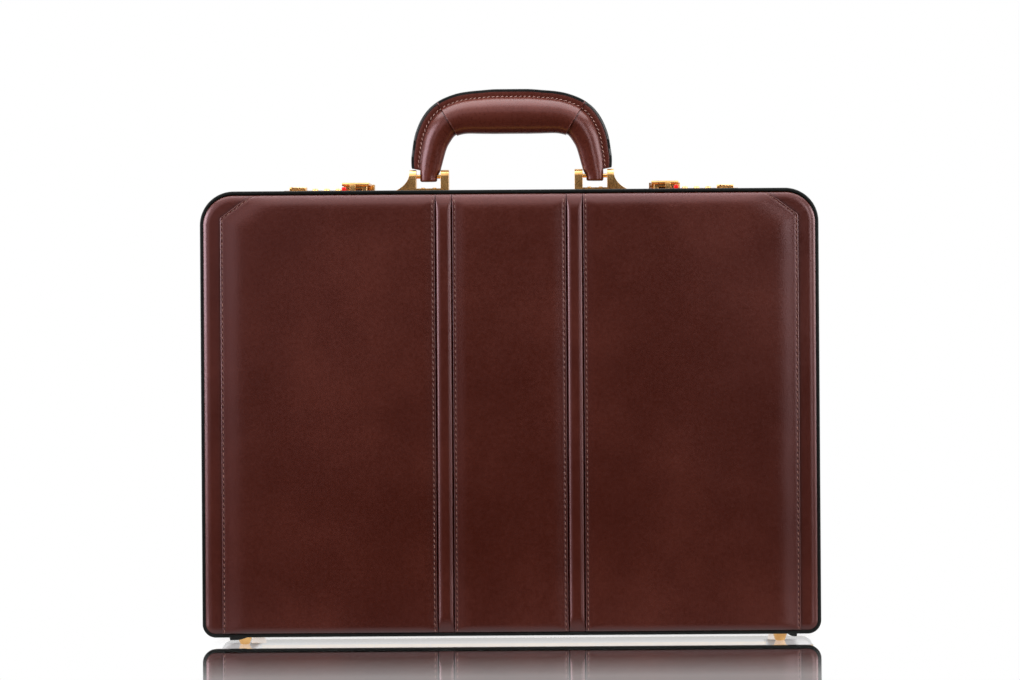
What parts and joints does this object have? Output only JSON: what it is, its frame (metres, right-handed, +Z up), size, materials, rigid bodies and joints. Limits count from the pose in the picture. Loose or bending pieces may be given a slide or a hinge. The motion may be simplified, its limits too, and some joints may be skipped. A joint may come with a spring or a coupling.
{
  "type": "attache case",
  "caption": "Hard-sided leather attache case that stands on its hinge side, with a swinging handle, combination locks, slotted lid stays and a papers pocket.",
  "frame": {"origin": "on the floor under the middle of the case, at the bottom centre of its bounding box", "axes": "+X to the right of the lid's face, +Y from the lid to the back, +Z up from the feet to the handle"},
  "size_m": [0.4568, 0.112, 0.4139],
  "materials": {
    "case_leather": "dark red-brown, semi-gloss, fine grain",
    "handle_leather": "dark red-brown, semi-gloss, stitched",
    "inside_leather": "red-brown, matt",
    "black_leather": "black, semi-gloss",
    "shell_board": "plywood, hidden",
    "lining": "suede-like, matt",
    "polished_brass": "polished brass",
    "satin_metal": "brass-coloured, satin",
    "steel": "plain steel"
  },
  "bodies": {
    "base": {"base_shell": "shell_board", "base_lining": "lining", "base_side_leather": "case_leather", "base_piping": "black_leather", "base_frame": "satin_metal", "base_panel_centre": "case_leather", "base_panel_left": "case_leather", "base_panel_right": "case_leather", "base_rib_left": "case_leather", "base_rib_right": "case_leather", "hinge_leaf_base": "satin_metal", "hinge_pin": "steel", "foot_base_left": "polished_brass", "foot_base_right": "polished_brass", "stay_pin_left": "polished_brass", "stay_pin_right": "polished_brass", "handle_bracket_left": "polished_brass", "handle_bracket_right": "polished_brass", "handle_pin_left": "polished_brass", "handle_pin_right": "polished_brass", "lock_case_left": "polished_brass", "lock_case_right": "polished_brass", "dial_shaft_left": "steel", "dial_shaft_right": "steel", "hasp_pin_left": "steel", "hasp_pin_right": "steel"},
    "lid": {"lid_shell": "shell_board", "lid_lining": "lining", "lid_side_leather": "case_leather", "lid_piping": "black_leather", "lid_frame": "satin_metal", "lid_panel_centre": "case_leather", "lid_panel_left": "case_leather", "lid_panel_right": "case_leather", "lid_rib_left": "case_leather", "lid_rib_right": "case_leather", "lid_edge_strip_left": "case_leather", "lid_edge_strip_right": "case_leather", "hinge_leaf_lid": "satin_metal", "foot_lid_left": "polished_brass", "foot_lid_right": "polished_brass", "staple_left": "polished_brass", "staple_right": "polished_brass", "papers_pocket": "inside_leather", "organiser": "inside_leather"},
    "handle": {"handle_roll": "handle_leather", "handle_core": "steel", "handle_sleeve": "handle_leather"},
    "stay_left": {"stay_arm_left": "satin_metal"},
    "hasp_left": {"hasp_left": "polished_brass"},
    "thumb_slide_left": {"thumb_slide_left": "polished_brass"},
    "dial_left_1": {"dial_left_1": "polished_brass"},
    "dial_left_2": {"dial_left_2": "polished_brass"},
    "dial_left_3": {"dial_left_3": "polished_brass"},
    "stay_right": {"stay_arm_right": "satin_metal"},
    "hasp_right": {"hasp_right": "polished_brass"},
    "thumb_slide_right": {"thumb_slide_right": "polished_brass"},
    "dial_right_1": {"dial_right_1": "polished_brass"},
    "dial_right_2": {"dial_right_2": "polished_brass"},
    "dial_right_3": {"dial_right_3": "polished_brass"}
  },
  "joints": [
    {"name": "lid_open", "type": "hinge", "parent": "base", "child": "lid", "pos_m": [0, -0.014, 0.0055], "axis": [1, 0, 0], "range_deg": [0, 100]},
    {"name": "stay_left_turn", "type": "hinge", "parent": "lid", "child": "stay_left", "pos_m": [-0.218, -0.025, 0.037], "axis": [1, 0, 0], "range_deg": [-50, 0]},
    {"name": "stay_right_turn", "type": "hinge", "parent": "lid", "child": "stay_right", "pos_m": [0.218, -0.025, 0.037], "axis": [1, 0, 0], "range_deg": [-50, 0]},
    {"name": "handle_swing", "type": "hinge", "parent": "base", "child": "handle", "pos_m": [0, 0.004, 0.3482], "axis": [1, 0, 0], "range_deg": [-80, 80]},
    {"name": "hasp_left_lift", "type": "hinge", "parent": "base", "child": "hasp_left", "pos_m": [-0.1155, 0.0055, 0.34], "axis": [-1, 0, 0], "range_deg": [0, 80]},
    {"name": "thumb_slide_left_push", "type": "slide", "parent": "base", "child": "thumb_slide_left", "axis": [-1, 0, 0], "range_m": [0, 0.003], "stiffness_N_per_m": 250},
    {"name": "dial_left_1_turn", "type": "hinge", "parent": "base", "child": "dial_left_1", "pos_m": [-0.131, 0.0016, 0.3348], "axis": [1, 0, 0], "continuous": true},
    {"name": "dial_left_2_turn", "type": "hinge", "parent": "base", "child": "dial_left_2", "pos_m": [-0.1397, 0.0016, 0.3348], "axis": [1, 0, 0], "continuous": true},
    {"name": "dial_left_3_turn", "type": "hinge", "parent": "base", "child": "dial_left_3", "pos_m": [-0.1484, 0.0016, 0.3348], "axis": [1, 0, 0], "continuous": true},
    {"name": "hasp_right_lift", "type": "hinge", "parent": "base", "child": "hasp_right", "pos_m": [0.1155, 0.0055, 0.34], "axis": [-1, 0, 0], "range_deg": [0, 80]},
    {"name": "thumb_slide_right_push", "type": "slide", "parent": "base", "child": "thumb_slide_right", "axis": [1, 0, 0], "range_m": [0, 0.003], "stiffness_N_per_m": 250},
    {"name": "dial_right_1_turn", "type": "hinge", "parent": "base", "child": "dial_right_1", "pos_m": [0.131, 0.0016, 0.3348], "axis": [1, 0, 0], "continuous": true},
    {"name": "dial_right_2_turn", "type": "hinge", "parent": "base", "child": "dial_right_2", "pos_m": [0.1397, 0.0016, 0.3348], "axis": [1, 0, 0], "continuous": true},
    {"name": "dial_right_3_turn", "type": "hinge", "parent": "base", "child": "dial_right_3", "pos_m": [0.1484, 0.0016, 0.3348], "axis": [1, 0, 0], "continuous": true}
  ],
  "couplings": [
    {"joint": "stay_left_turn", "follows": "lid_open", "ratio": -0.5},
    {"joint": "stay_right_turn", "follows": "lid_open", "ratio": -0.5}
  ]
}
